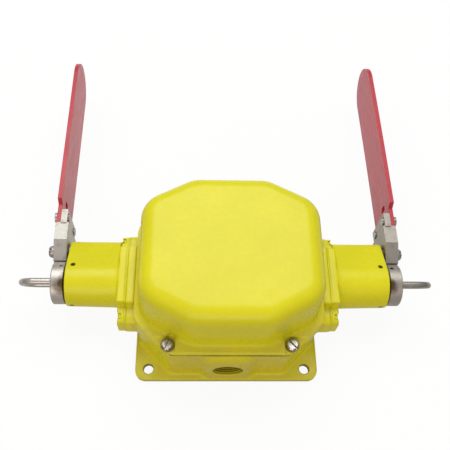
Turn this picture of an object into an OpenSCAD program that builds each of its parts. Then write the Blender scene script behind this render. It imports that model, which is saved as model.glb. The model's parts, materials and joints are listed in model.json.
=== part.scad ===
// Rope pull safety switch: cast box with two cable-pull heads, reset flags and two snap switches.
// X runs along the rope, Y from the conduit side to the flag side, Z up from the mounting face.
// The origin is at the centre of the four mounting holes, on the mounting face.

/* [Base] */
// Length of the box along the rope
box_w = 157; // [152:0.5:164]
// Depth of the box
box_d = 141; // [136:0.5:148]
// Leg of the box's 45 degree corners
box_corner = 28; // [24:0.5:30]
// Thickness of the base plate
plate_t = 7; // [5:0.5:9]
// How far the base plate reaches beyond the box's end walls
plate_margin_x = 3.3; // [2:0.1:8]
// How far the base plate reaches beyond the box's front and back walls
plate_margin_y = 6.2; // [5:0.1:10]
// Corner radius of the base plate
plate_corner_r = 9; // [5:0.5:11]
// Distance from the mounting holes to the plate's ends
hole_edge_x = 11.8; // [9:0.1:13]
// Distance from the mounting holes to the plate's front and back edges
hole_edge_y = 9.7; // [8:0.1:11]
// Diameter of the mounting holes
mount_hole_d = 8.8; // [6:0.2:10]
// Wall thickness of the box
box_wall = 5; // [4:0.5:6]
// Floor thickness of the box
floor_t = 5; // [4:0.5:6.5]
// Height of the box's joint face
joint_z = 63.1; // [60:0.1:65]

/* [Conduit entry] */
// Diameter of the threaded conduit hole
conduit_d = 26.4; // [20:0.2:28]
// Height of the conduit hole's axis
conduit_z = 28.4; // [24:0.2:32]
// How far the conduit pad stands out of the box wall
conduit_pad = 4.8; // [3:0.2:5.5]
// Width of the conduit pad's face
conduit_pad_w = 38; // [34:1:44]
// Depth of the conduit hole
conduit_depth = 15.3; // [10:0.1:18]

/* [Cover] */
// How far the cover's flange overhangs the box
rim_lip = 1.5; // [0.5:0.1:3]
// Thickness of the cover's flange
rim_t = 6.6; // [5:0.1:9]
// Depth of the lowered corner lands that carry the cover screws
land_drop = 1.5; // [0.5:0.1:3]
// Thickness of the cover gasket
gasket_t = 0.8; // [0.4:0.1:1.5]
// Width of the ledge between the dome and the flange's end edges
ledge_x = 4; // [3:0.1:6]
// Width of the ledge between the dome and the flange's front and back edges
ledge_y = 7; // [6:0.1:9]
// Height of the dome's top face above the mounting face
dome_z = 125; // [116:0.5:130]
// Radius of the dome's shoulder
dome_r = 13.2; // [10:0.2:16]
// Radius of the dome's upright corners
dome_corner_r = 23.6; // [18:0.2:28]
// Draft of the dome's long walls over its height
dome_draft = 2.1; // [1:0.1:4]
// Distance between the centres of the dome's front corners
dome_flat_x = 51; // [44:1:56]
// Distance between the centres of the dome's side corners
dome_flat_y = 56; // [48:1:60]
// Wall thickness of the cover
cover_wall = 4; // [3:0.5:5]
// Distance from the cover screws to the box's end walls
screw_inset_x = 27.7; // [27:0.1:29]
// Distance from the cover screws to the box's front and back walls
screw_inset_y = 5.7; // [5.3:0.1:6.3]
// Thread diameter of the cover screws
cover_screw_d = 4.8; // [4:0.1:5]
// Head diameter of the cover screws
cover_head_d = 10.4; // [9:0.2:11]
// Head height of the cover screws
cover_head_h = 4; // [3:0.2:5]

/* [Rope head] */
// Height of the pull shaft's axis
shaft_z = 43.4; // [41:0.2:44]
// Diameter of the pull shaft
shaft_d = 12.7; // [11:0.1:14]
// How far the side bosses stand out beyond the cover's flange
boss_reach = 8; // [6:0.5:10]
// Thickness of the spring housing's flange
flange_t = 6.6; // [5.5:0.1:8]
// Half height of the flange's flat top
flange_h = 22.4; // [22.4:0.1:23.2]
// Half width of the flange's flat top
flange_flat = 26; // [25:0.5:27]
// Half width of the flange across its screw lugs
lug_w = 41.5; // [40.5:0.1:43]
// Half height of the screw lugs
lug_h = 13; // [12:0.5:14]
// Length of the spring housing from its gasket to its outer face
housing_l = 52.8; // [50:0.2:58]
// Radius of the spring housing round the shaft
housing_r = 20.6; // [20:0.1:20.8]
// Radius of the spring housing's lobe round the lever pivot
lobe_r = 9.4; // [8.6:0.1:10.5]
// Growth of the spring housing's radius towards its flange
housing_draft = 1.2; // [0:0.1:1.4]
// Diameter of the spring chamber
chamber_d = 31; // [29:0.5:33]
// Thickness of the spring housing's end wall
end_wall = 12; // [9:0.5:14]
// Travel of the pull shaft
pull_travel = 21; // [20.5:0.1:23]

/* [Collar and eye] */
// Diameter of the steel collar
collar_d = 37.7; // [36:0.1:38]
// Thickness of the steel collar
collar_t = 11.6; // [10:0.1:12.5]
// Gap between the spring housing and the collar
collar_gap = 0.7; // [0.5:0.1:1.5]
// Chamfer of the collar's edges
collar_chamfer = 0.9; // [0.3:0.1:1.5]
// Diameter of the pull eye's rod
eye_rod_d = 6.2; // [5:0.1:7]
// Distance between the pull eye's legs
eye_span = 24; // [22:0.5:25]
// Distance from the collar's face to the pull eye's outer end
eye_reach = 30.8; // [28:0.1:36]
// Depth of the pull eye's legs in the collar
eye_seat = 6; // [4:0.5:7]
// Lean of the right pull eye from upright, towards the conduit side
right_eye_lean = 21; // [10:1:30]
// Lean of the left pull eye from upright, towards the conduit side
left_eye_lean = 17; // [10:1:30]

/* [Flag lever] */
// Distance of the lever pivot behind the shaft's axis
pivot_y = 30.4; // [29.8:0.1:31]
// Thickness of the lever block
lever_t = 11.5; // [10:0.1:12]
// Gap between the spring housing and the lever block
lever_gap = 1.9; // [1.2:0.1:2.4]
// Half height of the lever block
lever_h = 18.1; // [17.5:0.1:18.1]
// How much deeper the lever block reaches below the shaft's axis than above it
lever_drop = 2.5; // [0:0.1:4]
// Distance from the shaft's axis to the lever block's back face
lever_back = 51.7; // [48:0.1:55]
// Length of the lever's tongue behind the block
tongue_l = 12.8; // [11:0.1:14]
// Thickness of the lever's tongue
tongue_t = 5.6; // [4.5:0.1:6.2]
// Half height of the lever's tongue
tongue_h = 18.9; // [16:0.1:20]
// Radius of the lever's nose round the pivot
nose_r = 19.1; // [18.2:0.1:19.1]
// Diameter of the pivot bolt's shoulder
pivot_d = 8; // [6:0.1:9]
// Diameter of the pivot bolt's head
pivot_head_d = 11; // [10.6:0.2:13]
// Height of the pivot bolt's head
pivot_head_h = 6.2; // [5:0.1:8]

/* [Flag blade] */
// Thickness of the flag blade
blade_t = 4; // [2.5:0.1:4.2]
// Distance from the shaft's axis to the flag's tip
blade_end = 250; // [200:1:300]
// Width of the flag blade
blade_w = 52; // [48:0.5:55]
// How far the flag's centre line lies below the shaft's axis
blade_drop = 1.6; // [0:0.1:3]
// Distance from the shaft's axis to the shoulder where the blade widens
blade_shoulder = 70; // [67:0.5:74]
// Width of the blade's root leg
blade_root_w = 39; // [37:0.5:42]
// Diameter of the flag rivets
rivet_d = 4.6; // [3.5:0.1:5.5]
// Half distance between the flag rivets
rivet_span = 14; // [11:0.5:15]

/* [Inside] */
// Wire diameter of the return spring
spring_wire = 2.8; // [2:0.1:3.2]
// Mean diameter of the return spring
spring_d = 22; // [20:0.2:24]
// Number of turns of the return spring
spring_turns = 6; // [4:1:8]
// Distance from the return spring's inner seat to the outside of the box's end wall
seat_inset = 16.5; // [15:0.5:18]
// Distance from the centre to the pull shaft's inner end
shaft_start = 8; // [6:0.5:12]
// Distance from the switch plunger to the return spring's inner seat
plunger_inset = 8; // [7.5:0.5:9]
// Rise of the cam for each unit of shaft travel
cam_slope = 0.2; // [0.15:0.01:0.22]
// Diameter of the switch plunger
plunger_d = 5; // [4:0.2:6]
// Height of the switch body
switch_h = 24; // [18:0.5:28]
// Sheet thickness of the switch bracket
bracket_t = 2.5; // [2:0.1:3]

/* [Hidden] */

right = false;
left = true;
round_fn = 48;
slip = 0.05;              // radial clearance of running fits
seat_gap = 0.02;          // radial clearance of pressed and screwed fits
over = 1;                 // how far a cut runs past the face it opens
paint = [0.85, 0.80, 0.13];
steel = [0.68, 0.66, 0.62];

plate_w = box_w + 2 * plate_margin_x;
plate_d = box_d + 2 * plate_margin_y;
hole_span_x = plate_w - 2 * hole_edge_x;
hole_span_y = plate_d - 2 * hole_edge_y;
rim_w = box_w + 2 * rim_lip;
rim_d = box_d + 2 * rim_lip;
rim_corner = box_corner + 0.5;
dome_w = rim_w - 2 * ledge_x;
dome_d = rim_d - 2 * ledge_y;
cover_screw_x = box_w / 2 - screw_inset_x;
cover_screw_y = box_d / 2 - screw_inset_y;
cover_thread_l = 14;
cover_z = joint_z + gasket_t;
rim_top = cover_z + rim_t;
land_z = rim_top - land_drop;
boss_x = rim_w / 2 + boss_reach;
flange_x = boss_x + gasket_t;
housing_x = flange_x + housing_l;
seat_x = box_w / 2 - seat_inset;
plunger_x = seat_x - plunger_inset;
flange_thread_l = 7;
tube_x = flange_x + flange_t;
flange_screw_y = lug_w - 6.5;
flange_screw_z = lug_h - 5;
flange_screw_d = 4.8;
flange_head_d = 8;
pocket_d = flange_head_d + 1.8;
pocket_depth = 4;
bushing_d = 22;
bushing_lip = 2;
bushing_x = housing_x - end_wall;
lip_d = chamber_d - 2;
seal_t = 3;
collar_x = housing_x + collar_gap;
collar_face = collar_x + collar_t;
eye_r = eye_span / 2;
eye_bend_x = collar_face + eye_reach - eye_rod_d / 2 - eye_r;
lever_x = housing_x + lever_gap;
lever_end = lever_x + lever_t;
scallop_r = nose_r + 0.4;
bush_d = pivot_d + 2.4;
tongue_x = lever_x + 1.6;
blade_x = tongue_x + tongue_t;
blade_root = lever_back + 0.2;
rivet_y = lever_back + 0.5 * tongue_l;
pin_d = 3;
pin_angle = 61;
pin_x = collar_x + 3.7;
shaft_r = shaft_d / 2;
ring_t = 1.2;
washer_t = 2;
cam_start = seat_x - washer_t - ring_t - 0.8;
cam_len = pull_travel + cam_start - plunger_x + 0.5;
cam_r = shaft_r + 1.2;
bracket_x = plunger_x - 23;
bracket_front = 14;
bracket_back = 26;
bracket_top = plunger_z() + 8;
switch_w = 32;
switch_d = 18;
switch_z = plunger_z() + 7;
switch_screw_gap = 20;
terminal_w = 60;
terminal_y = 32;
terminal_d = 20;
terminal_h = 22;
terminal_count = 6;
bracket_screw_d = 4;
bracket_head_d = 8;
switch_screw_d = 3;
switch_head_d = 6;
terminal_head_d = 6;
small_head_h = 2.6;
ground_washer_d = 11;
ground_washer_t = 1.4;
ground_head_d = 9;
ground_head_h = 4;
ground_x = box_w / 2 - 28.5;
ground_y = 30;

// Radius of the cam under the plunger when the rope is not pulled
function cam_under_plunger() = cam_r + cam_slope * (cam_start - plunger_x);
// Height of the centre of the plunger's round tip at rest
function plunger_z() = shaft_z + cam_under_plunger()
    + (plunger_d / 2 + 0.3) * sqrt(1 + cam_slope * cam_slope);

// Rectangle with four 45 degree corners
function cut_rectangle(w, d, c) = [
    [w / 2, d / 2 - c], [w / 2 - c, d / 2], [c - w / 2, d / 2], [-w / 2, d / 2 - c],
    [-w / 2, c - d / 2], [c - w / 2, -d / 2], [w / 2 - c, -d / 2], [w / 2, c - d / 2]
];

// Leg of a 45 degree corner after its outline is moved inwards by t
function inner_corner(c, t) = c - (2 - sqrt(2)) * t;

// Parts are drawn on the right-hand side and mirrored to the left
module on_side(is_left) {
    mirror([is_left ? 1 : 0, 0, 0]) children();
}

// Extrudes a profile drawn in Y and Z along X, from x0 to x1
module along_x(x0, x1) {
    translate([x0, 0, 0]) rotate([90, 0, 90]) linear_extrude(x1 - x0) children();
}

// Straight cylinder along X, from x0 to x1, at the given Y and height
module rod_x(d, x0, x1, y = 0, z = shaft_z) {
    translate([x0, y, z]) rotate([0, 90, 0]) cylinder(d = d, h = x1 - x0, $fn = round_fn);
}

module four_corners(x, y) {
    for (sx = [-1, 1], sy = [-1, 1]) translate([sx * x, sy * y, 0]) children();
}

module rounded_plate(w, d, r, h) {
    linear_extrude(h) {
        square([w, d - 2 * r], center = true);
        square([w - 2 * r, d], center = true);
        four_corners(w / 2 - r, d / 2 - r) circle(r = r, $fn = round_fn);
    }
}

// Slotted screw head standing on z = 0
module slotted_head(d, h) {
    difference() {
        union() {
            cylinder(d = d, h = h * 0.7, $fn = round_fn);
            translate([0, 0, h * 0.7]) cylinder(d1 = d, d2 = d * 0.78, h = h * 0.3, $fn = round_fn);
        }
        translate([-d, -0.6, h * 0.55]) cube([2 * d, 1.2, h]);
    }
}

// Screw with its head's seat at z = 0 and its shank below
module slotted_screw(head_d, head_h, shank_d, shank_l) {
    slotted_head(head_d, head_h);
    translate([0, 0, -shank_l]) cylinder(d = shank_d, h = shank_l, $fn = round_fn);
}

// Outline of the flange and its side boss, in Y and height above the shaft's axis
module flange_outline(grow = 0) {
    r = 6.5;
    lug = [for (a = [90:-18:-90])
        [lug_w + grow - r + r * cos(a), (a < 0 ? r - lug_h : lug_h - r) + r * sin(a)]];
    half = concat([[flange_flat + grow, flange_h], [flange_flat + grow, lug_h]], lug,
        [[flange_flat + grow, -lug_h], [flange_flat + grow, -flange_h]]);
    polygon([for (s = [1, -1], p = half) s * p]);
}

module at_flange_screws() {
    for (sy = [-1, 1], sz = [-1, 1])
        translate([0, sy * flange_screw_y, shaft_z + sz * flange_screw_z]) children();
}

// Upright slab 1 mm thick with round top corners; its front face lies at distance y before the centre
module pad_slab(half_w, y, top, r) {
    translate([0, 1 - y, 0]) rotate([90, 0, 0]) linear_extrude(1) {
        translate([-half_w, 0]) square([2 * half_w, top - r]);
        translate([r - half_w, 0]) square([2 * (half_w - r), top]);
        for (s = [-1, 1]) translate([s * (half_w - r), top - r]) circle(r = r, $fn = 32);
    }
}

module conduit_pad_shape() {
    flare = 4;
    corner = 8;
    hull() {
        pad_slab(conduit_pad_w / 2, box_d / 2 + conduit_pad, joint_z - 5, corner);
        pad_slab(conduit_pad_w / 2 + flare, box_d / 2, joint_z - 2, corner);
    }
}

module box_cavity() {
    w = box_w - 2 * box_wall;
    d = box_d - 2 * box_wall;
    difference() {
        translate([0, 0, floor_t]) linear_extrude(joint_z)
            polygon(cut_rectangle(w, d, inner_corner(box_corner, box_wall)));
        four_corners(cover_screw_x, cover_screw_y)
            cylinder(d = cover_screw_d + 7, h = joint_z, $fn = round_fn);
        translate([0, -box_d / 2 + box_wall + conduit_depth - box_wall - conduit_pad, conduit_z])
            rotate([90, 0, 0]) cylinder(d = conduit_d + 9, h = conduit_depth, $fn = round_fn);
    }
}

module base_housing() {
    color(paint) difference() {
        union() {
            rounded_plate(plate_w, plate_d, plate_corner_r, plate_t);
            linear_extrude(joint_z) polygon(cut_rectangle(box_w, box_d, box_corner));
            conduit_pad_shape();
            for (side = [left, right]) on_side(side) side_boss();
        }
        box_cavity();
        four_corners(hole_span_x / 2, hole_span_y / 2)
            translate([0, 0, -over]) cylinder(d = mount_hole_d, h = plate_t + 2 * over, $fn = round_fn);
        four_corners(cover_screw_x, cover_screw_y) translate([0, 0, joint_z - cover_thread_l - 2])
            cylinder(d = cover_screw_d + 2 * seat_gap, h = cover_thread_l + 2 + over, $fn = round_fn);
        translate([0, -box_d / 2 - conduit_pad + conduit_depth + over, conduit_z])
            rotate([90, 0, 0]) cylinder(d = conduit_d, h = conduit_depth + 2 * over, $fn = round_fn);
        for (side = [left, right]) on_side(side) {
            rod_x(chamber_d, box_w / 2 - box_wall - over, boss_x + over);
            at_flange_screws() rotate([0, 90, 0]) translate([0, 0, boss_x - flange_thread_l - 1])
                cylinder(d = flange_screw_d + 2 * seat_gap, h = flange_thread_l + 1 + over, $fn = round_fn);
        }
    }
}

// Boss on the side wall that carries a spring housing; it is cut back under the cover's flange
module side_boss() {
    difference() {
        translate([0, 0, shaft_z]) along_x(box_w / 2 - over, boss_x) flange_outline(0.8);
        translate([0, -rim_d, joint_z]) cube([rim_w / 2 + 0.5, 2 * rim_d, rim_t]);
    }
}

// Places a child at the eight corners of the dome's outline
module at_dome_corners(w, d, r) {
    four_corners(dome_flat_x / 2, d / 2 - r) children();
    four_corners(w / 2 - r, dome_flat_y / 2) children();
}

// Disc of radius r whose upper edge is rounded with radius roll_r
module shoulder_disc(r, roll_r, fn) {
    arc = [for (a = [0:360 / fn:90]) [r - roll_r + roll_r * cos(a), roll_r * sin(a)]];
    rotate_extrude($fn = fn) polygon(concat([[0, 0]], arc, [[0, roll_r]]));
}

// Dome shrunk inwards by t
module dome(t, z0, fn) {
    corner_r = dome_corner_r - t;
    roll_r = dome_r - t;
    hull() {
        translate([0, 0, z0]) at_dome_corners(dome_w - 2 * t, dome_d - 2 * t, corner_r + 1)
            cylinder(r = corner_r + 1, h = 1, $fn = fn);
        translate([0, 0, dome_z - dome_r])
            at_dome_corners(dome_w - 2 * (t + dome_draft), dome_d - 2 * t - 1, corner_r)
                shoulder_disc(corner_r, roll_r, fn);
    }
}

module cover() {
    land_x = cover_screw_x - cover_head_d / 2 - 0.6;
    land_y = cover_screw_y - cover_head_d / 2 - 1.6;
    color(paint) difference() {
        union() {
            translate([0, 0, cover_z]) linear_extrude(rim_t)
                polygon(cut_rectangle(rim_w, rim_d, rim_corner));
            dome(0, cover_z, 40);
        }
        dome(cover_wall, cover_z - over, 16);
        four_corners(land_x + rim_w / 4, land_y + rim_d / 4) translate([0, 0, land_z + 10])
            cube([rim_w / 2, rim_d / 2, 20], center = true);
        four_corners(cover_screw_x, cover_screw_y) translate([0, 0, cover_z - over])
            cylinder(d = cover_screw_d + 0.6, h = rim_t + 2 * over, $fn = round_fn);
    }
}

module cover_gasket() {
    color([0.12, 0.12, 0.12]) difference() {
        translate([0, 0, joint_z]) linear_extrude(gasket_t) difference() {
            polygon(cut_rectangle(box_w - 1, box_d - 1, box_corner));
            polygon(cut_rectangle(box_w - 2 * box_wall, box_d - 2 * box_wall,
                inner_corner(box_corner, box_wall) + 12));
        }
        four_corners(cover_screw_x, cover_screw_y)
            cylinder(d = cover_screw_d + 0.6, h = 2 * joint_z, $fn = round_fn);
    }
}

module cover_screws() {
    color(steel) four_corners(cover_screw_x, cover_screw_y) translate([0, 0, land_z])
        slotted_screw(cover_head_d, cover_head_h, cover_screw_d, land_z - joint_z + cover_thread_l);
}

// Teardrop outline of the spring housing, drafted towards its flange
module housing_body() {
    hull() {
        translate([flange_x + 1, 0, shaft_z]) rotate([0, 90, 0])
            cylinder(r1 = housing_r + housing_draft, r2 = housing_r, h = housing_x - flange_x - 1,
                $fn = round_fn);
        rod_x(2 * lobe_r, flange_x + 1, housing_x, pivot_y);
    }
}

// Radial holes in the housing's nose for the bushing's set screws
module at_set_screws() {
    translate([housing_x - 6.1, 0, shaft_z]) rotate([pin_angle - 90, 0, 0]) children();
    translate([housing_x - 5, 0, shaft_z]) rotate([pin_angle + 36, 0, 0]) children();
}

module spring_housing(is_left) {
    on_side(is_left) color(paint) difference() {
        union() {
            translate([0, 0, shaft_z]) along_x(flange_x, tube_x) flange_outline();
            housing_body();
        }
        rod_x(chamber_d, flange_x - over, bushing_x);
        rod_x(bushing_d + 2 * seat_gap, bushing_x - over, housing_x + over);
        rod_x(pivot_thread_d() + 2 * seat_gap, housing_x - pivot_thread_l(), housing_x + over, pivot_y);
        at_flange_screws() {
            rotate([0, 90, 0]) translate([0, 0, flange_x - over])
                cylinder(d = flange_screw_d + 0.6, h = flange_t + 2 * over, $fn = round_fn);
            rotate([0, 90, 0]) translate([0, 0, tube_x - pocket_depth])
                cylinder(d = pocket_d, h = pocket_depth + over, $fn = round_fn);
        }
        at_set_screws() cylinder(d = 3.8, h = 2 * housing_r, $fn = round_fn);
    }
}

module flange_gasket(is_left) {
    on_side(is_left) color([0.12, 0.12, 0.12]) difference() {
        translate([0, 0, shaft_z]) along_x(boss_x, flange_x) flange_outline(-0.5);
        rod_x(chamber_d, boss_x - over, flange_x + over);
        at_flange_screws() rotate([0, 90, 0]) translate([0, 0, boss_x - over])
            cylinder(d = flange_screw_d + 0.6, h = gasket_t + 2 * over, $fn = round_fn);
    }
}

module flange_screws(is_left) {
    seat = tube_x - pocket_depth;
    on_side(is_left) color(paint) at_flange_screws() rotate([0, 90, 0]) translate([0, 0, seat])
        slotted_screw(flange_head_d, 3.2, flange_screw_d, seat - boss_x + flange_thread_l);
}

module end_bushing(is_left) {
    on_side(is_left) color([0.72, 0.55, 0.25]) difference() {
        union() {
            rod_x(bushing_d, bushing_x - bushing_lip, housing_x);
            rod_x(lip_d, bushing_x - bushing_lip, bushing_x);
        }
        rod_x(shaft_d + 2 * slip, bushing_x - bushing_lip - over, housing_x + over);
        rod_x(shaft_d + 4, housing_x - seal_t, housing_x + over);
        at_set_screws() translate([0, 0, bushing_d / 2 - 1.2]) cylinder(d = 3.8, h = 10, $fn = round_fn);
    }
}

module shaft_seal(is_left) {
    on_side(is_left) color([0.08, 0.08, 0.08]) difference() {
        rod_x(shaft_d + 4 - 2 * seat_gap, housing_x - seal_t, housing_x - 0.4);
        rod_x(shaft_d + 2 * slip, housing_x - seal_t - over, housing_x + over);
    }
}

module set_screws(is_left) {
    on_side(is_left) color([0.2, 0.2, 0.2]) at_set_screws() translate([0, 0, bushing_d / 2 - 1.2])
        difference() {
            cylinder(d = 3.8 - 2 * seat_gap, h = 8, $fn = round_fn);
            translate([0, 0, 6]) cylinder(d = 2, h = 3, $fn = 6);
        }
}

// Cross hole or cross pin through collar and shaft
module cross_pin(d, reach) {
    translate([pin_x, 0, shaft_z]) rotate([pin_angle - 90, 0, 0])
        translate([0, 0, -reach]) cylinder(d = d, h = 2 * reach, $fn = round_fn);
}

module pull_shaft(is_left) {
    on_side(is_left) color(steel) difference() {
        union() {
            rod_x(shaft_d, shaft_start + 1, collar_face - 0.2);
            translate([shaft_start, 0, shaft_z]) rotate([0, 90, 0])
                cylinder(d1 = shaft_d - 2, d2 = shaft_d, h = 1, $fn = round_fn);
        }
        ring_groove();
        cross_pin(pin_d + 2 * seat_gap, shaft_d);
    }
}

// Groove in the shaft that holds the retaining ring
module ring_groove() {
    x0 = seat_x - washer_t - ring_t;
    difference() {
        rod_x(shaft_d + 2, x0 - 0.05, x0 + ring_t + 0.05);
        rod_x(shaft_d - 1.6, x0 - over, x0 + ring_t + over);
    }
}

module retaining_ring(is_left) {
    x0 = seat_x - washer_t - ring_t;
    on_side(is_left) color([0.25, 0.25, 0.27]) difference() {
        rod_x(shaft_d + 4, x0, x0 + ring_t);
        rod_x(shaft_d - 1.6 + 2 * seat_gap, x0 - over, x0 + ring_t + over);
        translate([x0 - over, -2, shaft_z - shaft_d]) cube([ring_t + 2 * over, 4, shaft_d]);
    }
}

module spring_washer(is_left) {
    on_side(is_left) color(steel) difference() {
        rod_x(spring_d + spring_wire + 1.6, seat_x - washer_t, seat_x);
        rod_x(shaft_d + 2 * slip, seat_x - washer_t - over, seat_x + over);
    }
}

// Cone that lifts the plunger as the shaft moves outwards
module cam(is_left) {
    on_side(is_left) color([0.72, 0.55, 0.25]) difference() {
        translate([cam_start - cam_len, 0, shaft_z]) rotate([0, 90, 0])
            cylinder(r1 = cam_r + cam_slope * cam_len, r2 = cam_r, h = cam_len, $fn = round_fn);
        rod_x(shaft_d + 2 * seat_gap, cam_start - cam_len - over, cam_start + over);
    }
}

// Collar on the shaft, scalloped to clear the lever's nose
module collar(is_left) {
    lean = is_left ? left_eye_lean : right_eye_lean;
    c = collar_chamfer;
    r = collar_d / 2;
    on_side(is_left) color(steel) difference() {
        translate([collar_x, 0, shaft_z]) rotate([0, 90, 0]) rotate_extrude($fn = round_fn)
            polygon([
                [shaft_r + seat_gap, 0], [r - c, 0], [r, c], [r, collar_t - c],
                [r - c, collar_t], [shaft_r + seat_gap, collar_t]
            ]);
        rod_x(2 * scallop_r, collar_x - over, collar_face + over, pivot_y);
        cross_pin(pin_d + 2 * seat_gap, collar_d);
        translate([0, 0, shaft_z]) rotate([lean, 0, 0])
            eye_legs(eye_rod_d + 2 * seat_gap, collar_face - eye_seat, collar_face + over);
    }
}

module collar_pin(is_left) {
    on_side(is_left) color([0.3, 0.3, 0.3]) cross_pin(pin_d, collar_d / 2 - 1);
}

// The pull eye's two legs, upright before the eye is leaned over
module eye_legs(d, x0, x1) {
    for (s = [-1, 1]) translate([x0, 0, s * eye_r]) rotate([0, 90, 0])
        cylinder(d = d, h = x1 - x0, $fn = round_fn);
}

module pull_eye(is_left) {
    lean = is_left ? left_eye_lean : right_eye_lean;
    on_side(is_left) color([0.75, 0.74, 0.7]) translate([0, 0, shaft_z]) rotate([lean, 0, 0]) {
        eye_legs(eye_rod_d, collar_face - eye_seat, eye_bend_x);
        translate([eye_bend_x, 0, 0]) rotate([90, 0, 0]) rotate([0, 0, -90])
            rotate_extrude(angle = 180, $fn = round_fn) translate([eye_r, 0])
                circle(d = eye_rod_d, $fn = round_fn);
    }
}

// Coil of round wire: rings of points swept along a helix about X
module coil(x0, x1, mean_r, wire_r, turns) {
    steps = 14 * turns;
    sides = 6;
    ring = [for (i = [0:steps], k = [0:sides - 1])
        let (a = 360 * turns * i / steps, b = 360 * k / sides, rr = mean_r + wire_r * cos(b))
        [x0 + (x1 - x0) * i / steps + wire_r * sin(b), rr * cos(a), rr * sin(a)]];
    walls = [for (i = [0:steps - 1], k = [0:sides - 1])
        let (p = i * sides, q = p + sides, n = (k + 1) % sides) [p + k, q + k, q + n, p + n]];
    ends = [[for (k = [0:sides - 1]) k], [for (k = [sides - 1:-1:0]) steps * sides + k]];
    polyhedron(points = ring, faces = concat(walls, ends));
}

module return_spring(is_left) {
    rest = spring_wire / 2 + 0.3;
    on_side(is_left) color([0.45, 0.45, 0.47]) translate([0, 0, shaft_z])
        coil(seat_x + rest, bushing_x - bushing_lip - rest, spring_d / 2, spring_wire / 2, spring_turns);
}

module lever_profile() {
    facet_top = pivot_y + 4.1;
    tip_y = 17.3;
    tip_z = 9.6;
    drop = 2.4;
    nose_z = 6.5;
    nose_a = asin(nose_z / nose_r);
    upper = [
        [lever_back, lever_h], [facet_top, lever_h], [tip_y, tip_z], [tip_y, tip_z - drop]
    ];
    nose = [for (a = [nose_a:-nose_a / 5:-nose_a - 0.01]) [pivot_y - nose_r * cos(a), nose_r * sin(a)]];
    lower = [for (i = [3:-1:0]) [upper[i][0], -upper[i][1] - (i < 2 ? lever_drop : 0)]];
    polygon(concat(upper, nose, lower));
}

module flag_lever(is_left) {
    on_side(is_left) color([0.78, 0.76, 0.74]) difference() {
        translate([0, 0, shaft_z]) {
            along_x(lever_x, lever_end) lever_profile();
            along_x(tongue_x, blade_x) translate([lever_back - 1, -tongue_h - lever_drop])
                square([tongue_l + 1, 2 * tongue_h + lever_drop]);
        }
        rod_x(bush_d + 2 * seat_gap, lever_x - over, lever_end + over, pivot_y);
        at_rivets() rod_x(rivet_d + 2 * seat_gap, tongue_x - over, blade_x + over, rivet_y);
    }
}

module at_rivets() {
    for (s = [-1, 1]) translate([0, 0, s * rivet_span]) children();
}

module pivot_bush(is_left) {
    on_side(is_left) color([0.72, 0.55, 0.25]) difference() {
        rod_x(bush_d, lever_x, lever_end, pivot_y);
        rod_x(pivot_d + 2 * slip, lever_x - over, lever_end + over, pivot_y);
    }
}

module pivot_washer(is_left) {
    on_side(is_left) color(steel) difference() {
        rod_x(2 * lobe_r - 6, housing_x, lever_x - 0.3, pivot_y);
        rod_x(pivot_d + 2 * slip, housing_x - over, lever_x + over, pivot_y);
    }
}

function pivot_thread_d() = pivot_d - 1.6;
function pivot_thread_l() = 14;

module pivot_bolt(is_left) {
    head_x = lever_end + 0.3;
    on_side(is_left) color(steel) {
        rod_x(pivot_thread_d(), housing_x - pivot_thread_l() + 1, housing_x, pivot_y);
        rod_x(pivot_d, housing_x, head_x, pivot_y);
        translate([head_x, pivot_y, shaft_z]) rotate([0, 90, 0]) slotted_head(pivot_head_d, pivot_head_h);
    }
}

module blade_profile() {
    tip_r = blade_w / 2;
    leg_h = blade_root_w / 2;
    slope = 3;
    translate([0, -blade_drop]) difference() {
        union() {
            polygon([
                [blade_root, -leg_h], [blade_shoulder, -leg_h], [blade_shoulder + slope, -tip_r],
                [blade_end - tip_r, -tip_r], [blade_end - tip_r, tip_r],
                [blade_shoulder + slope, tip_r], [blade_shoulder, leg_h], [blade_root, leg_h]
            ]);
            translate([blade_end - tip_r, 0]) circle(r = tip_r, $fn = 64);
        }
        translate([blade_shoulder + 7, 4.5]) {
            square([6, 4], center = true);
            for (s = [-1, 1]) translate([0, 2 * s]) circle(d = 6, $fn = 24);
        }
    }
}

module flag_blade(is_left) {
    on_side(is_left) color([0.75, 0.18, 0.2]) difference() {
        translate([0, 0, shaft_z]) along_x(blade_x, blade_x + blade_t) blade_profile();
        at_rivets() rod_x(rivet_d + 2 * seat_gap, blade_x - over, blade_x + blade_t + over, rivet_y);
    }
}

module flag_rivets(is_left) {
    head = 2;
    on_side(is_left) color(steel) at_rivets() {
        rod_x(rivet_d, tongue_x, blade_x + blade_t, rivet_y);
        rod_x(2 * rivet_d, blade_x + blade_t, blade_x + blade_t + head, rivet_y);
        rod_x(1.7 * rivet_d, tongue_x - 1.3, tongue_x, rivet_y);
    }
}

module switch_bracket() {
    foot_w = 2 * bracket_x;
    color([0.7, 0.7, 0.68]) difference() {
        union() {
            translate([-foot_w / 2, -bracket_front, floor_t])
                cube([foot_w, bracket_front + bracket_back, bracket_t]);
            for (s = [-1, 1])
                translate([s * (bracket_x - bracket_t / 2) - bracket_t / 2, -bracket_front, floor_t])
                    cube([bracket_t, bracket_front + switch_d / 2 + bracket_t, bracket_top - floor_t]);
            translate([-plunger_x - switch_w / 2, switch_d / 2, bracket_top - 4])
                cube([2 * plunger_x + switch_w, bracket_t, switch_z + switch_h - bracket_top + 4]);
        }
        rod_x(shaft_d + 2 * slip, -bracket_x - over, bracket_x + over);
        at_bracket_screws() translate([0, 0, floor_t - over])
            cylinder(d = bracket_screw_d + 0.6, h = bracket_t + 2 * over, $fn = round_fn);
        at_switch_screws() translate([0, 0, -2 * switch_d])
            cylinder(d = switch_screw_d + 0.4, h = 2 * switch_d, $fn = round_fn);
    }
}

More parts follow.
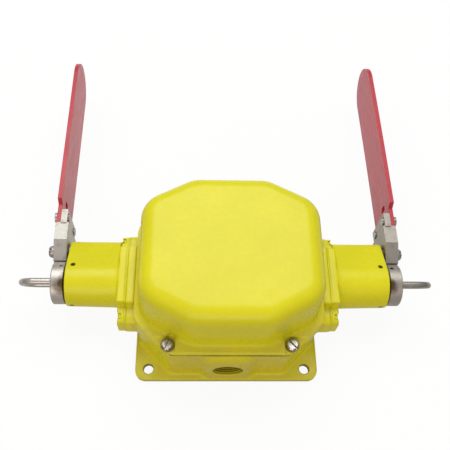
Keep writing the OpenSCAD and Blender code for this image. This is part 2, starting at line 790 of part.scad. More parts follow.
module at_bracket_screws() {
    for (sx = [-1, 1], y = [5 - bracket_front, bracket_back - 5])
        translate([sx * (bracket_x - 9), y, 0]) children();
}

// Axes of the switch screws, pointing forwards from the switch body's front face
module at_switch_screws() {
    for (s = [-1, 1], e = [-1, 1])
        translate([s * plunger_x + e * switch_screw_gap / 2, -switch_d / 2, switch_z + switch_h - 6])
            rotate([90, 0, 0]) children();
}

module bracket_screws() {
    color(steel) at_bracket_screws() translate([0, 0, floor_t + bracket_t]) {
        slotted_head(bracket_head_d, small_head_h);
        translate([0, 0, -bracket_t]) cylinder(d = bracket_screw_d, h = bracket_t, $fn = round_fn);
    }
}

module switch_screws() {
    color(steel) at_switch_screws()
        slotted_screw(switch_head_d, small_head_h, switch_screw_d, switch_d + bracket_t + 1);
}

module limit_switch(is_left) {
    on_side(is_left) color([0.13, 0.13, 0.14]) difference() {
        union() {
            translate([plunger_x - switch_w / 2, -switch_d / 2, switch_z])
                cube([switch_w, switch_d, switch_h]);
            translate([plunger_x, 0, switch_z - 3]) cylinder(d = plunger_d + 5, h = 4, $fn = round_fn);
            for (i = [-1:1]) translate([plunger_x + 9 * i - 2.5, -3, switch_z + switch_h]) cube([5, 6, 4]);
        }
        translate([plunger_x, 0, switch_z - 3 - over])
            cylinder(d = plunger_d + 2 * slip, h = 20, $fn = round_fn);
        for (e = [-1, 1]) translate([plunger_x + e * switch_screw_gap / 2, switch_d, switch_z + switch_h - 6])
            rotate([90, 0, 0]) cylinder(d = switch_screw_d + 0.4, h = 2 * switch_d, $fn = round_fn);
    }
}

module plunger(is_left) {
    on_side(is_left) color([0.85, 0.82, 0.7]) translate([plunger_x, 0, plunger_z()]) {
        sphere(d = plunger_d, $fn = round_fn);
        cylinder(d = plunger_d, h = 14, $fn = round_fn);
    }
}

module terminal_block() {
    pitch = terminal_w / terminal_count;
    color([0.1, 0.1, 0.1]) translate([0, terminal_y, floor_t]) difference() {
        translate([-terminal_w / 2 - 1, 0, 0]) cube([terminal_w + 2, terminal_d, terminal_h]);
        for (i = [0:terminal_count - 1]) translate([(i + 0.5) * pitch - terminal_w / 2, 0, 0]) {
            translate([0, terminal_d / 2, terminal_h - 5]) cylinder(d = pitch - 2, h = 6, $fn = round_fn);
            translate([2 - pitch / 2, -over, 6]) cube([pitch - 4, 7, 7]);
        }
    }
}

module terminal_screws() {
    pitch = terminal_w / terminal_count;
    color([0.72, 0.6, 0.3]) for (i = [0:terminal_count - 1])
        translate([(i + 0.5) * pitch - terminal_w / 2, terminal_y + terminal_d / 2, floor_t + terminal_h - 5])
            slotted_head(terminal_head_d, small_head_h);
}

module ground_screw() {
    color([0.2, 0.5, 0.25]) translate([-ground_x, -ground_y, floor_t]) {
        cylinder(d = ground_washer_d, h = ground_washer_t, $fn = round_fn);
        translate([0, 0, ground_washer_t]) cylinder(d = ground_head_d, h = ground_head_h, $fn = 6);
    }
}

base_housing();
cover();
cover_gasket();
cover_screws();
spring_housing(left);  // left_spring_housing
spring_housing(right);  // right_spring_housing
flange_gasket(left);  // left_flange_gasket
flange_gasket(right);  // right_flange_gasket
flange_screws(left);  // left_flange_screws
flange_screws(right);  // right_flange_screws
end_bushing(left);  // left_end_bushing
end_bushing(right);  // right_end_bushing
shaft_seal(left);  // left_shaft_seal
shaft_seal(right);  // right_shaft_seal
set_screws(left);  // left_set_screws
set_screws(right);  // right_set_screws
pull_shaft(left);  // left_pull_shaft
pull_shaft(right);  // right_pull_shaft
collar(left);  // left_collar
collar(right);  // right_collar
collar_pin(left);  // left_collar_pin
collar_pin(right);  // right_collar_pin
pull_eye(left);  // left_pull_eye
pull_eye(right);  // right_pull_eye
return_spring(left);  // left_return_spring
return_spring(right);  // right_return_spring
spring_washer(left);  // left_spring_washer
spring_washer(right);  // right_spring_washer
retaining_ring(left);  // left_retaining_ring
retaining_ring(right);  // right_retaining_ring
cam(left);  // left_cam
cam(right);  // right_cam
limit_switch(left);  // left_limit_switch
limit_switch(right);  // right_limit_switch
plunger(left);  // left_plunger
plunger(right);  // right_plunger
flag_lever(left);  // left_flag_lever
flag_lever(right);  // right_flag_lever
pivot_bolt(left);  // left_pivot_bolt
pivot_bolt(right);  // right_pivot_bolt
pivot_bush(left);  // left_pivot_bush
pivot_bush(right);  // right_pivot_bush
pivot_washer(left);  // left_pivot_washer
pivot_washer(right);  // right_pivot_washer
flag_blade(left);  // left_flag_blade
flag_blade(right);  // right_flag_blade
flag_rivets(left);  // left_flag_rivets
flag_rivets(right);  // right_flag_rivets
switch_bracket();
bracket_screws();
switch_screws();
terminal_block();
terminal_screws();
ground_screw();
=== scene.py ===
import json
import math
from functools import partial

import bmesh
import bpy
import numpy as np
from mathutils import Matrix, Vector


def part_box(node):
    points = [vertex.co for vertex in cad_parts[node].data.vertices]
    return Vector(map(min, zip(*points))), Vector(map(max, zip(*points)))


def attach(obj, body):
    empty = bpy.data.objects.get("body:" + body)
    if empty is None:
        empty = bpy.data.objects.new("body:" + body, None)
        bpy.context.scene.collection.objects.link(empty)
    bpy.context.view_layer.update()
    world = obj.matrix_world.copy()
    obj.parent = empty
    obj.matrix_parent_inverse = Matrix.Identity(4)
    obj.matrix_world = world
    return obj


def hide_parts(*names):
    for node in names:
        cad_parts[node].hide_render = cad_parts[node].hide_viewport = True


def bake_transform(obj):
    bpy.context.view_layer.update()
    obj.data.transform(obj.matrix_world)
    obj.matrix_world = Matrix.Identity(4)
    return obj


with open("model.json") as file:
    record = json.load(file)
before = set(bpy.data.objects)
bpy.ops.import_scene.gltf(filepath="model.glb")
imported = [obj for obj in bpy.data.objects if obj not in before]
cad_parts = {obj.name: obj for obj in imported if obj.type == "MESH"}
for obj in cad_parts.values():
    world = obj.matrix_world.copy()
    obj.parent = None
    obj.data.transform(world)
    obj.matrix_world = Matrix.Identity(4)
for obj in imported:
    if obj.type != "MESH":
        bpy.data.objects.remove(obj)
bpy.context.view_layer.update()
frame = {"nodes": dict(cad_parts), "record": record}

MM = 0.001
SIDES = ("left", "right")


def box_mm(node):
    low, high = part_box(node)
    return np.array(low) / MM, np.array(high) / MM


# Levels and outlines of the castings, in mm, as the CAD model has them
SHAFT_Z = 43.4
RIM_HALF = box_mm("cover")[1][:2]
RIM_CORNER = 28.5
RIM_ROUND = 18.0                # radius that the rim's corners are worn and cast to
RIM_TOP = 70.5
JOINT = (63.1, 63.9)            # underside and top of the cover's gasket
HEAD_R = 5.2                    # cover screw head
COVER_SCREW = box_mm("cover_screws")[1][:2] - HEAD_R
LAND = (45.0, 58.0)             # inner corner of the lowered land at a cover screw
DOME_R = 23.6                   # the dome's upright corners, about these centres
DOME_FRONT = (25.5, 41.4)
DOME_SIDE = (52.4, 28.0)
BOX_HALF = (78.5, 70.5)
BOX_CORNER = 28.0
PLATE_HALF = (81.8, 76.7)
PLATE_TOP = 7.0
MOUNT_HOLE = (70.0, 67.0)
BOSS_X = 88.0
TUBE_X = 95.4
TUBE_R = 21.8
TUBE_MOUTH = (128.0, 130.0)     # the recess for the end bushing begins between these
TUBE_MOUTH_R = (20.1, 20.4)
TUBE_END = box_mm("right_spring_housing")[1][0]
SET_SCREWS = ((6.1, -29), (5.0, 97))    # from the tube's end; degrees about the rope axis
FLANGE_HEAD_R = 4.0
CONDUIT_R = 13.2
CONDUIT_Z = 28.4
CONDUIT_FACE = -75.3
CONDUIT_DEPTH = 15.3
CONDUIT_BACK = -52.0            # the bore has ended behind this

# ---------------------------------------------------------------- camera
CAMERA_YAW = 0.094          # radians, towards +X
CAMERA_TILT = 1.0756        # radians below the horizon
CAMERA_ROLL = -0.094        # radians
CAMERA_TARGET = Vector((-1.484, 61.954, 40.0)) * MM
CAMERA_DISTANCE = 596.267 * MM
CAMERA_LENS = 50.25
SENSOR = 36


def make_camera():
    forward = Vector((math.sin(CAMERA_YAW) * math.cos(CAMERA_TILT),
                      math.cos(CAMERA_YAW) * math.cos(CAMERA_TILT),
                      -math.sin(CAMERA_TILT)))
    level = Vector((math.cos(CAMERA_YAW), -math.sin(CAMERA_YAW), 0))
    down = forward.cross(level)
    right = math.cos(CAMERA_ROLL) * level + math.sin(CAMERA_ROLL) * down
    below = -math.sin(CAMERA_ROLL) * level + math.cos(CAMERA_ROLL) * down
    turn = Matrix((right, -below, -forward)).transposed().to_4x4()
    data = bpy.data.cameras.new("camera")
    data.sensor_width = SENSOR
    data.lens = CAMERA_LENS
    camera = bpy.data.objects.new("camera", data)
    bpy.context.scene.collection.objects.link(camera)
    camera.matrix_world = Matrix.Translation(CAMERA_TARGET - forward * CAMERA_DISTANCE) @ turn
    bpy.context.scene.camera = camera


# ---------------------------------------------------------------- node helpers
class Nodes:
    """A node tree, with short calls for the nodes that it is made of."""

    def __init__(self, tree):
        self.tree = tree

    def node(self, kind, inputs=(), **settings):
        made = self.tree.nodes.new(kind)
        for key, value in settings.items():
            setattr(made, key, value)
        for key, value in dict(inputs).items():
            self.feed(made.inputs[key], value)
        return made

    def feed(self, socket, value):
        if isinstance(value, bpy.types.NodeSocket):
            self.tree.links.new(value, socket)
        elif isinstance(value, tuple) and socket.type == "RGBA":
            socket.default_value = (*value, 1)
        else:
            socket.default_value = value

    def component(self, vector, axis):
        return self.node("ShaderNodeSeparateXYZ", {0: vector}).outputs[axis]

    def math(self, operation, first, second=0.0):
        made = self.node("ShaderNodeMath", {0: first, 1: second}, operation=operation)
        return made.outputs[0]

    def product(self, first, *others):
        for other in others:
            first = self.math("MULTIPLY", first, other)
        return first

    def vector(self, operation, first, second=(0, 0, 0)):
        """Vector mathematics. What comes out is a number for a length, distance or dot product."""
        made = self.node("ShaderNodeVectorMath", {0: first, 1: second}, operation=operation)
        as_number = operation in ("LENGTH", "DISTANCE", "DOT_PRODUCT")
        return made.outputs["Value" if as_number else "Vector"]

    def ramp(self, value, low, high, out_low=0.0, out_high=1.0):
        made = self.node("ShaderNodeMapRange", {"Value": value, "From Min": low, "From Max": high,
                                                "To Min": out_low, "To Max": out_high})
        return made.outputs["Result"]

    def within(self, distance, inner, outer, share=1.0):
        """This share up to the inner distance, and nothing from the outer one on, in mm."""
        return self.ramp(distance, inner * MM, outer * MM, share, 0.0)

    def beyond(self, distance, inner, outer):
        """Nothing up to the inner distance, and all from the outer one on, in mm."""
        return self.ramp(distance, inner * MM, outer * MM)

    def noise(self, where, scale, detail=3.0, rough=0.5):
        made = self.node("ShaderNodeTexNoise",
                         {"Vector": where, "Scale": scale, "Detail": detail, "Roughness": rough})
        return made.outputs["Fac"]

    def cloud(self, where, scale, levels, out=(0.0, 1.0), detail=3.0, rough=0.5):
        """Noise whose values between these levels are spread over the range out."""
        return self.ramp(self.noise(where, scale, detail, rough), *levels, *out)

    def blend(self, factor, first, second):
        made = self.node("ShaderNodeMix", data_type="RGBA")
        for index, value in ((0, factor), (6, first), (7, second)):
            self.feed(made.inputs[index], value)
        return made.outputs[2]

    def bump(self, height, strength, distance):
        inputs = {"Height": height, "Strength": strength, "Distance": distance}
        return self.node("ShaderNodeBump", inputs).outputs["Normal"]

    def show_mix(self, factor, first, second, output):
        """Sends a mix of two shaders to the output node of this name."""
        mixed = self.node("ShaderNodeMixShader",
                          {0: factor, 1: first.outputs[0], 2: second.outputs[0]})
        self.feed(self.tree.nodes[output].inputs[0], mixed.outputs[0])


class Shader(Nodes):
    """A material with its node tree."""

    def __init__(self, name):
        self.material = bpy.data.materials.new(name)
        self.material.use_nodes = True
        super().__init__(self.material.node_tree)
        self.bsdf = self.tree.nodes["Principled BSDF"]

    def position(self, scale=(1, 1, 1)):
        coords = self.node("ShaderNodeTexCoord").outputs["Object"]
        return self.node("ShaderNodeMapping", {"Vector": coords, "Scale": scale}).outputs["Vector"]

    def set(self, **inputs):
        for key, value in inputs.items():
            self.feed(self.bsdf.inputs[key.replace("_", " ")], value)


def srgb(red, green, blue):
    """Linear colour from screen levels of 0 to 255."""
    levels = (red / 255, green / 255, blue / 255)
    return tuple(c / 12.92 if c <= 0.04045 else ((c + 0.055) / 1.055) ** 2.4 for c in levels)


def shade(colour, factor):
    return tuple(c * factor for c in colour)


YELLOW = srgb(228, 221, 32)
RED = srgb(190, 49, 63)
# colour of the dust and painted shade on the ledges
DUST_AND_SHADE = srgb(200, 174, 98)
# colour of the painted shade on the front wall
WALL_SHADE = srgb(194, 160, 66)
# colour of the painted shade at the right-hand end of the object
RIGHT_SIDE_SHADE = srgb(70, 64, 58)
SHADE_SHARES = (0.36, 0.3, 0.6)      # what painted shade and the smudges by the screws leave of the paint's red, green and blue
BESIDE_BOX = (82.0, 84.0)           # where the dust and painted shade on the box end, outward along the rope


# ---------------------------------------------------------------- grime and painted shade on the castings
def folded_distance(shader, where, centre, flat=False):
    """Distance from a point that repeats in all four quadrants, measured in plan where flat."""
    counted = (1, 1, 0) if flat else (1, 1, 1)
    seen = shader.vector("MULTIPLY", shader.vector("ABSOLUTE", where), counted)
    place = tuple(c * k * MM for c, k in zip(centre, counted))
    return shader.vector("DISTANCE", seen, place)


def at_right_end(shader, where):
    """The place with its X taken as positive, since both ends of the object are alike."""
    outward = shader.vector("ABSOLUTE", shader.vector("MULTIPLY", where, (1, 0, 0)))
    return shader.vector("ADD", outward, shader.vector("MULTIPLY", where, (0, 1, 1)))


def radius_about(shader, where, level, across):
    """Distance from a level axis at this height in mm, over the directions marked across it."""
    moved = shader.vector("ADD", where, (0, 0, -level * MM))
    return shader.vector("LENGTH", shader.vector("MULTIPLY", moved, across))


def reach_of(shader, where):
    """Distance from the middle along the rope."""
    return shader.math("ABSOLUTE", shader.component(where, "X"))


def normal_component(shader, axis):
    return shader.component(shader.node("ShaderNodeNewGeometry").outputs["Normal"], axis)


def ledge_dust_and_shade(shader, where):
    """Thin dust and painted shade on the plate and the ledge round the dome."""
    level = shader.ramp(normal_component(shader, "Z"), 0.5, 0.95)
    low = shader.within(shader.component(where, "Z"), 70, 80)
    beside = shader.within(reach_of(shader, where), *BESIDE_BOX)
    amount = shader.cloud(where, 55, (0.3, 0.7), (0.12, 0.34), detail=4, rough=0.6)
    return shader.product(level, shader.product(low, beside), amount)


def front_wall_shade(shader, where):
    """Painted shade on the front wall, below the joint."""
    upright = shader.ramp(normal_component(shader, "Y"), -0.9, -0.75, 1.0, 0.0)
    low = shader.within(shader.component(where, "Z"), 61, 67)
    beside = shader.within(reach_of(shader, where), *BESIDE_BOX)
    amount = shader.cloud(where, 40, (0.3, 0.7), (0.22, 0.38))
    return shader.product(upright, shader.product(low, beside), amount)


def screw_shadow_and_smudges(shader, where):
    """Painted shadow ring round the cover screws' heads, and dark smudges on the wall above them.
    """
    centre = (*COVER_SCREW, RIM_TOP)
    # painted shadow round each head
    ring = shader.within(folded_distance(shader, where, centre, flat=True), 5.5, 6.6, 0.85)
    ring = shader.product(ring, shader.beyond(shader.component(where, "Z"), 67, 68))
    above = (centre[0] - 1, centre[1] - 5, RIM_TOP + 2)
    near = shader.within(folded_distance(shader, where, above), 3, 10)
    blot = shader.cloud(where, 240, (0.46, 0.66), (0.0, 0.75), detail=5, rough=0.65)
    return shader.math("MAXIMUM", ring, shader.product(near, blot))


def set_screw_hole_shade(shader, where):
    """Painted shade on the walls of the radial set screw holes near the ends of the spring
    housings.
    """
    folded = at_right_end(shader, where)
    masks = []
    for back, degrees in SET_SCREWS:
        place = ((TUBE_END - back) * MM, 0, SHAFT_Z * MM)
        axis = (0, -math.sin(math.radians(degrees)), math.cos(math.radians(degrees)))
        arm = shader.vector("SUBTRACT", folded, place)
        radius = shader.vector("LENGTH", shader.vector("CROSS_PRODUCT", arm, axis))
        along = shader.vector("DOT_PRODUCT", arm, axis)
        outside = shader.math("GREATER_THAN", along, 0.0)
        masks.append(shader.product(shader.within(radius, 2.0, 2.3), outside))
    return shader.math("MAXIMUM", *masks)


def conduit_bore_shade(shader, where):
    """Painted shade inside the conduit entry, behind a lip that keeps the plain paint colour."""
    radius = radius_about(shader, where, CONDUIT_Z, across=(1, 0, 1))
    inside = shader.within(radius, CONDUIT_R + 0.1, CONDUIT_R + 0.5, 0.6)
    depth = shader.component(where, "Y")
    in_wall = shader.within(depth, CONDUIT_BACK, CONDUIT_BACK + 2)
    behind_lip = shader.beyond(depth, CONDUIT_FACE + 0.7, CONDUIT_FACE + 1.3)
    return shader.product(inside, in_wall, behind_lip)


# Painted shade on the walls of the mounting holes in the plate.
def mount_hole_shade(shader, where):
    from_axis = folded_distance(shader, where, (*MOUNT_HOLE, 0), flat=True)
    inside = shader.within(from_axis, 4.5, 5.0, 0.9)
    in_plate = shader.within(shader.component(where, "Z"), PLATE_TOP + 0.5, PLATE_TOP + 1.0)
    return shader.product(inside, in_plate)


def bushing_recess_shade(shader, where):
    """Painted shade in the recess for the end bushing, at the open ends of the spring housings."""
    near_end = shader.beyond(reach_of(shader, where), *TUBE_MOUTH)
    radius = radius_about(shader, where, SHAFT_Z, across=(0, 1, 1))
    return shader.product(near_end, shader.within(radius, *TUBE_MOUTH_R))


def plate_foot_shadow(shader, where):
    """Painted shadow along the foot of the mounting plate."""
    return shader.within(shader.component(where, "Z"), 1.4, 3.4)


def dust_nibs(shader, where):
    """Specks caught in the paint, in some places only."""
    cells = shader.node("ShaderNodeTexVoronoi", {"Vector": where, "Scale": 110, "Randomness": 1.0})
    specks = shader.ramp(cells.outputs["Distance"], 0.05, 0.1, 1.0, 0.0)
    return shader.product(specks, shader.cloud(where, 37, (0.6, 0.66), detail=2))


# ---------------------------------------------------------------- materials
def painted_casting(name, colour):
    """Gloss enamel on a sand casting: orange peel, dust nibs, faint mottling, dust and smudges, and
    painted shade.
    """
    shader = Shader(name)
    where = shader.position()
    patches = shader.cloud(where, 26, (0.3, 0.7), detail=4)
    tint = shader.blend(patches, shade(colour, 0.95), shade(colour, 1.03))
    mottle = shader.cloud(where, 230, (0.35, 0.75), (0.0, 0.5), rough=0.6)
    tint = shader.blend(mottle, tint, shade(colour, 0.93))
    # dust and painted shade on the plate and the ledge
    tint = shader.blend(ledge_dust_and_shade(shader, where), tint, DUST_AND_SHADE)
    # painted shade on the front wall
    tint = shader.blend(front_wall_shade(shader, where), tint, WALL_SHADE)
    shade_and_smudge = tuple(c * share for c, share in zip(colour, SHADE_SHARES))
    # painted shade in the hollows and round the screw heads, and dark smudges by the screws
    for mask in (screw_shadow_and_smudges, conduit_bore_shade, mount_hole_shade, bushing_recess_shade, set_screw_hole_shade):
        tint = shader.blend(mask(shader, where), tint, shade_and_smudge)
    # painted shadow along the plate's foot, darker still
    tint = shader.blend(plate_foot_shadow(shader, where), tint, shade(shade_and_smudge, 0.4))
    nibs = dust_nibs(shader, where)
    tint = shader.blend(shader.product(nibs, 0.5), tint, shade(colour, 0.6))
    peel = shader.product(shader.noise(where, 420, 2), 0.75)
    sand = shader.product(shader.noise(where, 1400, 3, 0.6), 0.25)
    height = shader.math("ADD", shader.math("ADD", peel, sand), nibs)
    shader.set(Base_Color=tint, Roughness=shader.cloud(where, 90, (0.3, 0.7), (0.24, 0.32)),
               Normal=shader.bump(height, strength=0.17, distance=0.0005),
               Specular_IOR_Level=0.27)
    return shader.material


def red_enamel(name, colour):
    """Sprayed enamel on sheet steel: finer peel, light scuffs along the blade."""
    shader = Shader(name)
    where = shader.position()
    patches = shader.cloud(where, 30, (0.3, 0.7), detail=4)
    tint = shader.blend(patches, shade(colour, 0.93), shade(colour, 1.05))
    scuff = shader.noise(shader.position((1, 0.12, 1)), 420, 4, 0.65)
    tint = shader.blend(shader.ramp(scuff, 0.62, 0.72, 0.0, 0.35), tint, shade(colour, 1.35))
    peel = shader.noise(where, 600, 2)
    shader.set(Base_Color=tint, Roughness=shader.ramp(scuff, 0.35, 0.7, 0.3, 0.44),
               Normal=shader.bump(peel, strength=0.14, distance=0.0004),
               Specular_IOR_Level=0.48)
    return shader.material


def right_end(shader, amount):
    """This much on the right-hand half of the object and nothing on the left."""
    return shader.ramp(shader.component(shader.position(), "X"), -MM, MM, 0.0, amount)


def lathe_rings(shader, scale=2400):
    """Fine rings about the X axis."""
    return shader.noise(shader.position((1, 0.02, 0.02)), scale, 2)


def turned_steel(name, colour, stain, rough, lines=2400, depth=0.1):
    """Lathe-turned steel with faint stains."""
    shader = Shader(name)
    rings = lathe_rings(shader, lines)
    patch = shader.cloud(shader.position(), 75, (0.42, 0.66), detail=4, rough=0.6)
    shader.set(Base_Color=shader.blend(patch, colour, stain), Metallic=1.0,
               Roughness=shader.ramp(rings, 0.3, 0.7, rough * 0.85, rough * 1.2),
               Normal=shader.bump(rings, depth, distance=0.0001))
    return shader.material


def collar_steel(name, colour, stain):
    """Turned steel with brown oil stains that spread from the housing's end, and painted shade on
    the right-hand collar.
    """
    shader = Shader(name)
    rings = lathe_rings(shader)
    where = shader.position()
    source = (box_mm("right_collar")[0][0] * MM, -9 * MM, (SHAFT_Z + 17) * MM)
    away = shader.vector("DISTANCE", at_right_end(shader, where), source)
    spread = shader.ramp(away, 2 * MM, 14 * MM, 0.42, -0.25)
    patch = shader.math("ADD", shader.noise(where, 70, 4, 0.55), spread)
    patch = shader.math("SUBTRACT", patch, right_end(shader, 0.17))
    tint = shader.blend(shader.ramp(patch, 0.41, 0.74), colour, stain)
    # painted shade over the right-hand collar
    tint = shader.blend(right_end(shader, 0.2), tint, stain)
    shader.set(Base_Color=tint, Metallic=1.0, Roughness=shader.ramp(rings, 0.3, 0.7, 0.38, 0.5),
               Normal=shader.bump(rings, strength=0.1, distance=0.0001))
    return shader.material


def milled_steel(name, colour, stain, rough):
    """Milled block: parallel cutter strokes, faint smudges, and painted shade on the right-hand
    block.
    """
    shader = Shader(name)
    strokes = shader.noise(shader.position((0.04, 1, 1)), 2600, 2)
    smudge = shader.cloud(shader.position(), 130, (0.5, 0.75), (0.0, 0.7), detail=4)
    tint = shader.blend(smudge, colour, stain)
    # painted shade over the right-hand lever
    tint = shader.blend(right_end(shader, 0.42), tint, stain)
    shader.set(Base_Color=tint, Metallic=1.0,
               Roughness=shader.ramp(strokes, 0.3, 0.7, rough * 0.94, rough * 1.1),
               Normal=shader.bump(strokes, strength=0.035, distance=0.0001))
    return shader.material


def plain_finish(name, colour, rough, metallic=0.0, scale=300, depth=0.1, right_shade=0.0):
    """Even finish with a slight speckle, darker by a share of painted shade at the right-hand end.
    """
    shader = Shader(name)
    speck = shader.noise(shader.position(), scale, 3)
    tint = shader.blend(shader.ramp(speck, 0.3, 0.7), shade(colour, 0.82), colour)
    # painted shade at the right-hand end
    if right_shade:
        tint = shader.blend(right_end(shader, right_shade), tint, RIGHT_SIDE_SHADE)
    shader.set(Base_Color=tint, Metallic=metallic,
               Roughness=shader.ramp(speck, 0.3, 0.7, rough * 0.85, rough * 1.15),
               Normal=shader.bump(speck, depth, distance=0.0002))
    return shader.material


def shadow_bead_finish(name, rubber, paint):
    """Gasket edge in a dark colour that paints the shadow line under the rim, painted over in
    places.
    """
    shader = Shader(name)
    covered = shader.cloud(shader.position(), 75, (0.45, 0.64), (0.0, 0.7), detail=4, rough=0.6)
    shader.set(Base_Color=shader.blend(covered, rubber, paint), Roughness=0.6)
    return shader.material


bare_metal = partial(plain_finish, metallic=1.0)
FINISHES = {
    "yellow_paint": partial(painted_casting, colour=YELLOW),
    "painted_joint": partial(painted_casting, colour=shade(YELLOW, 0.92)),
    "bead": partial(shadow_bead_finish, rubber=srgb(104, 90, 36), paint=shade(YELLOW, 0.85)),
    "red_paint": partial(red_enamel, colour=RED),
    "ground_steel": partial(milled_steel, colour=srgb(184, 180, 174), stain=srgb(140, 131, 120),
                            rough=0.5),
    "turned_steel": partial(turned_steel, colour=srgb(172, 168, 162), stain=srgb(138, 128, 116),
                            rough=0.42),
    "screw_steel": partial(turned_steel, colour=srgb(176, 170, 162), stain=srgb(104, 90, 74),
                           rough=0.22, lines=900, depth=0.05),
    "collar_steel": partial(collar_steel, colour=srgb(190, 184, 177), stain=srgb(98, 82, 58)),
    # the right-hand rod gets painted shade
    "stainless_rod": partial(bare_metal, colour=srgb(194, 188, 181), rough=0.36, scale=150,
                             depth=0.02, right_shade=0.34),
    "zinc_steel": partial(bare_metal, colour=srgb(176, 176, 172), rough=0.42),
    "bronze": partial(bare_metal, colour=srgb(178, 138, 78), rough=0.36),
    "spring_steel": partial(bare_metal, colour=srgb(120, 120, 122), rough=0.35),
    "terminal_brass": partial(bare_metal, colour=srgb(196, 164, 92), rough=0.3),
    "black_steel": partial(plain_finish, colour=srgb(40, 38, 36), rough=0.55, metallic=0.6),
    "black_rubber": partial(plain_finish, colour=srgb(38, 37, 36), rough=0.75),
    "black_plastic": partial(plain_finish, colour=srgb(40, 40, 42), rough=0.45),
    "ivory_plastic": partial(plain_finish, colour=srgb(226, 218, 190), rough=0.3),
    "green_paint": partial(plain_finish, colour=srgb(70, 140, 80), rough=0.4),
}
MATERIALS = {name: make(name) for name, make in FINISHES.items()}
SLOT_OF = {row["node"]: row["material_slot"] for row in frame["record"]["subparts"]}

# ---------------------------------------------------------------- meshes
WELD = 2e-6         # metres; CAD vertices this close are the same


def welded_mesh(node):
    """bmesh of a CAD node with its seams welded."""
    work = bmesh.new()
    work.from_mesh(frame["nodes"][node].data)
    bmesh.ops.remove_doubles(work, verts=work.verts, dist=WELD)
    for layer in list(work.loops.layers.uv):
        work.loops.layers.uv.remove(layer)
    return work


def new_piece(name, work, body, material, slot, *replaced):
    mesh = bpy.data.meshes.new(name)
    work.to_mesh(mesh)
    work.free()
    piece = bpy.data.objects.new(name, mesh)
    bpy.context.scene.collection.objects.link(piece)
    mesh.materials.append(MATERIALS[material])
    if body:
        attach(piece, body)
    if replaced:
        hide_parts(*replaced)
    return piece


def apply_modifiers(piece):
    graph = bpy.context.evaluated_depsgraph_get()
    final = bpy.data.meshes.new_from_object(piece.evaluated_get(graph))
    piece.modifiers.clear()
    old = piece.data
    piece.data = final
    bpy.data.meshes.remove(old)


def shade_edges(mesh, degrees):
    """Smooth shading but for edges sharper than this."""
    mesh.shade_smooth()
    mesh.set_sharp_from_angle(angle=math.radians(degrees))


def skin_rings(work, rings):
    """Closed skin over a row of rings of vertices."""
    sides = len(rings[0])
    for one, two in zip(rings, rings[1:]):
        for k in range(sides):
            n = (k + 1) % sides
            work.faces.new((one[k], one[n], two[n], two[k]))
    work.faces.new(rings[0][::-1])
    work.faces.new(rings[-1])


def points_of(mesh):
    flat = np.empty(len(mesh.vertices) * 3)
    mesh.vertices.foreach_get("co", flat)
    return flat.reshape(-1, 3)


def relax(mesh, voxel, passes):
    """Smooths a mesh. Each pass has a weight for every vertex, and a reach in mm."""
    points = points_of(mesh)
    count = len(points)
    pairs = np.empty(len(mesh.edges) * 2, dtype=np.int64)
    mesh.edges.foreach_get("vertices", pairs)
    first, second = pairs.reshape(-1, 2).T
    degree = np.maximum(np.bincount(pairs, minlength=count), 1)
    for weight, reach in passes:
        for _ in range(max(1, round(2 * (reach * MM / voxel) ** 2))):
            for axis in range(3):
                value = points[:, axis]
                total = (np.bincount(first, weights=value[second], minlength=count)
                         + np.bincount(second, weights=value[first], minlength=count))
                points[:, axis] = value + 0.5 * weight * (total / degree - value)
    mesh.vertices.foreach_set("co", points.ravel())
    mesh.update()


def rise(value, start, end):
    """0 up to start, 1 from end on; start may lie above end."""
    return np.clip((value - start) / (end - start), 0, 1)


def cut_inset(x, y, half, corner):
    """Distance inside the outline of a rectangle with 45 degree corners."""
    diagonal = (half[0] + half[1] - corner - np.abs(x) - np.abs(y)) / math.sqrt(2)
    return np.minimum(np.minimum(half[0] - np.abs(x), half[1] - np.abs(y)), diagonal)


# ---------------------------------------------------------------- castings
def rounded_rim(points):
    """Points near the upright corners of the cover's rim, drawn in to a rounded corner."""
    moved = np.array(points)
    eighth = math.pi / 8            # half the turn between two sides of the rim
    across = RIM_ROUND * math.tan(eighth)
    deepest = RIM_ROUND * (1 / math.cos(eighth) - 1) * MM
    outward = np.array((math.cos(eighth), math.sin(eighth)))
    side_corner = (RIM_HALF[0], RIM_HALF[1] - RIM_CORNER)
    front_corner = (RIM_HALF[0] - RIM_CORNER, RIM_HALF[1])
    for corner, way in ((side_corner, outward), (front_corner, outward[::-1])):
        away = np.linalg.norm(np.abs(moved[:, :2]) / MM - corner, axis=1)
        draw_in = rise(away, across, 0) ** 2 * deepest
        moved[:, :2] -= np.sign(moved[:, :2]) * draw_in[:, None] * way
    return moved


def cast_piece(node, body, passes_for, voxel, keep, reshape=None):
    """Remeshes a cast or bent piece and relaxes it by region, for its fillets and rounded edges.

    The voxel is in mm, and keep is the share of the faces that stays.
    """
    slot = SLOT_OF[node]
    piece = new_piece(node + "_smooth", welded_mesh(node), body, slot, slot, node)
    remesh = piece.modifiers.new("remesh", "REMESH")
    remesh.mode = "VOXEL"
    remesh.voxel_size = voxel * MM
    apply_modifiers(piece)
    relax(piece.data, voxel * MM, passes_for(*(points_of(piece.data).T / MM)))
    if reshape:
        piece.data.vertices.foreach_set("co", reshape(points_of(piece.data)).ravel())
    thin = piece.modifiers.new("thin", "DECIMATE")
    thin.ratio = keep
    apply_modifiers(piece)
    relax(piece.data, voxel * MM, passes_for(*(points_of(piece.data).T / MM))[-2:])
    piece.data.shade_smooth()


def outside_dome(x, y):
    """Distance outside the upright face of the cover's dome."""
    x, y = np.abs(x), np.abs(y)
    along = np.array(DOME_SIDE) - np.array(DOME_FRONT)
    normal = np.array((-along[1], along[0])) / np.hypot(*along)
    diagonal = (x - DOME_FRONT[0]) * normal[0] + (y - DOME_FRONT[1]) * normal[1]
    return np.maximum(np.maximum(y - DOME_FRONT[1], x - DOME_SIDE[0]), diagonal) - DOME_R


